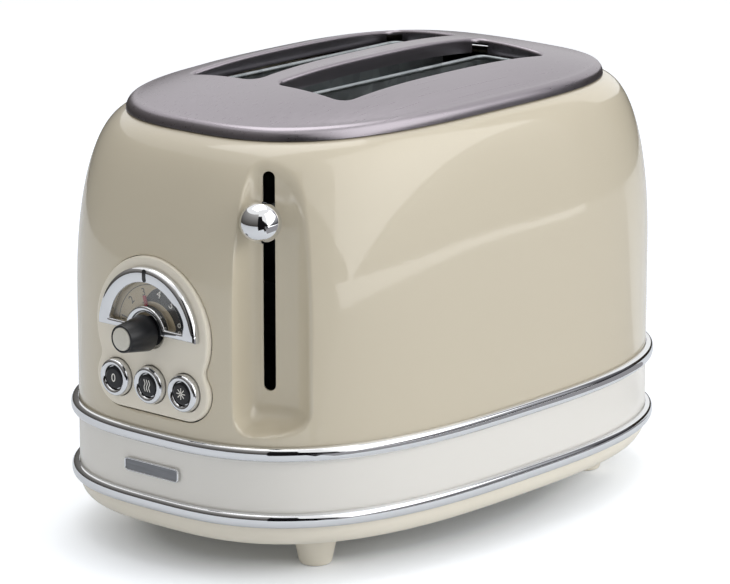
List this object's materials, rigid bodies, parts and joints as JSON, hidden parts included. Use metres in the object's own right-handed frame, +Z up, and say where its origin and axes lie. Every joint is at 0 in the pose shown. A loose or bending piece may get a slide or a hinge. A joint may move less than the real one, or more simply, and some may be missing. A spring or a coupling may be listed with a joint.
{
  "type": "two-slice toaster",
  "caption": "Rounded two-slice toaster with a side lever, a half-round browning dial, push buttons and a rear crumb tray.",
  "frame": {"origin": "under the middle of the whole object, on the surface that it stands on", "axes": "+X along the length away from the control end, +Z up, -Y is the side next to the lever"},
  "size_m": [0.3268, 0.205, 0.2185],
  "materials": {
    "enamel": "gloss cream enamel",
    "cream_plastic": "gloss cream, moulded",
    "ivory": "gloss ivory",
    "chrome": "polished",
    "brushed_steel": "brushed along the length",
    "zinc_sheet": "plain zinc-coated sheet",
    "zinc_wire": "drawn wire",
    "mica": "layered mica sheet",
    "heating_ribbon": "dull heating alloy",
    "black_plastic": "gloss black",
    "cap_ivory": "satin ivory",
    "dial_print": "printed beige and dark grey",
    "needle_red": "muted red",
    "clear_window": "clear",
    "copper": "enamelled copper winding",
    "circuit_green": "solder mask",
    "terminal_white": "moulded white"
  },
  "bodies": {
    "casing": {"foot_control_right": "cream_plastic", "foot_control_left": "cream_plastic", "foot_far_right": "cream_plastic", "foot_far_left": "cream_plastic", "base_pan": "cream_plastic", "ivory_band": "ivory", "lower_band": "chrome", "upper_band": "chrome", "cord_gland": "black_plastic", "badge_plate": "chrome", "body_shell": "enamel", "top_plate": "brushed_steel", "slot_liner": "zinc_sheet", "chassis_control_end": "zinc_sheet", "chassis_far_end": "zinc_sheet", "heat_shield_right": "zinc_sheet", "heat_shield_left": "zinc_sheet", "heater_board_right": "mica", "heater_winding_right": "heating_ribbon", "heater_board_middle": "mica", "heater_winding_middle": "heating_ribbon", "heater_board_left": "mica", "heater_winding_left": "heating_ribbon", "guide_rod": "chrome", "carriage_spring": "zinc_wire", "magnet_core": "zinc_sheet", "magnet_coil": "copper", "control_panel": "cream_plastic", "dial_face": "dial_print", "dial_bezel": "chrome", "dial_window": "clear_window", "potentiometer": "zinc_sheet", "circuit_board": "circuit_green", "switch_cancel": "black_plastic", "switch_reheat": "black_plastic", "switch_defrost": "black_plastic", "terminal_block": "terminal_white"},
    "lever": {"carriage": "zinc_sheet", "carriage_bush": "black_plastic", "bread_rack_right": "zinc_sheet", "bread_rack_left": "zinc_sheet", "lever_arm": "zinc_sheet", "lever_knob": "chrome", "latch_plate": "zinc_sheet"},
    "guard_right_outer": {"bread_guard_right_outer": "zinc_wire"},
    "guard_right_inner": {"bread_guard_right_inner": "zinc_wire"},
    "guard_left_outer": {"bread_guard_left_outer": "zinc_wire"},
    "guard_left_inner": {"bread_guard_left_inner": "zinc_wire"},
    "browning_control": {"browning_knob": "black_plastic", "knob_cap": "cap_ivory", "knob_shaft": "zinc_sheet", "dial_needle": "needle_red"},
    "cancel": {"button_cancel": "chrome", "insert_cancel": "black_plastic"},
    "reheat": {"button_reheat": "chrome", "insert_reheat": "black_plastic"},
    "defrost": {"button_defrost": "chrome", "insert_defrost": "black_plastic"},
    "tray": {"crumb_tray": "zinc_sheet"}
  },
  "joints": [
    {"name": "lever_slide", "type": "slide", "parent": "casing", "child": "lever", "axis": [0, 0, 1], "range_m": [-0.074, 0.014], "stiffness_N_per_m": 120, "springref_m": 0.0165, "deforming": ["carriage_spring"]},
    {"name": "guard_right_outer_slide", "type": "slide", "parent": "casing", "child": "guard_right_outer", "axis": [0, 1, 0], "range_m": [-0.0009, 0.0046]},
    {"name": "guard_right_inner_slide", "type": "slide", "parent": "casing", "child": "guard_right_inner", "axis": [0, -1, 0], "range_m": [-0.0009, 0.0046]},
    {"name": "guard_left_outer_slide", "type": "slide", "parent": "casing", "child": "guard_left_outer", "axis": [0, -1, 0], "range_m": [-0.0009, 0.0046]},
    {"name": "guard_left_inner_slide", "type": "slide", "parent": "casing", "child": "guard_left_inner", "axis": [0, 1, 0], "range_m": [-0.0009, 0.0046]},
    {"name": "browning_turn", "type": "hinge", "parent": "casing", "child": "browning_control", "pos_m": [-0.1434, 0, 0.1112], "axis": [-1, 0, 0], "range_deg": [-80, 80]},
    {"name": "cancel_press", "type": "slide", "parent": "casing", "child": "cancel", "axis": [1, 0, 0], "range_m": [0, 0.0016], "stiffness_N_per_m": 400},
    {"name": "reheat_press", "type": "slide", "parent": "casing", "child": "reheat", "axis": [1, 0, 0], "range_m": [0, 0.0016], "stiffness_N_per_m": 400},
    {"name": "defrost_press", "type": "slide", "parent": "casing", "child": "defrost", "axis": [1, 0, 0], "range_m": [0, 0.0016], "stiffness_N_per_m": 400},
    {"name": "tray_slide", "type": "slide", "parent": "casing", "child": "tray", "axis": [1, 0, 0], "range_m": [0, 0.2]}
  ],
  "couplings": [
    {"joint": "guard_right_outer_slide", "follows": "lever_slide", "ratio": -0.060811},
    {"joint": "guard_right_inner_slide", "follows": "lever_slide", "ratio": -0.060811},
    {"joint": "guard_left_outer_slide", "follows": "lever_slide", "ratio": -0.060811},
    {"joint": "guard_left_inner_slide", "follows": "lever_slide", "ratio": -0.060811}
  ]
}
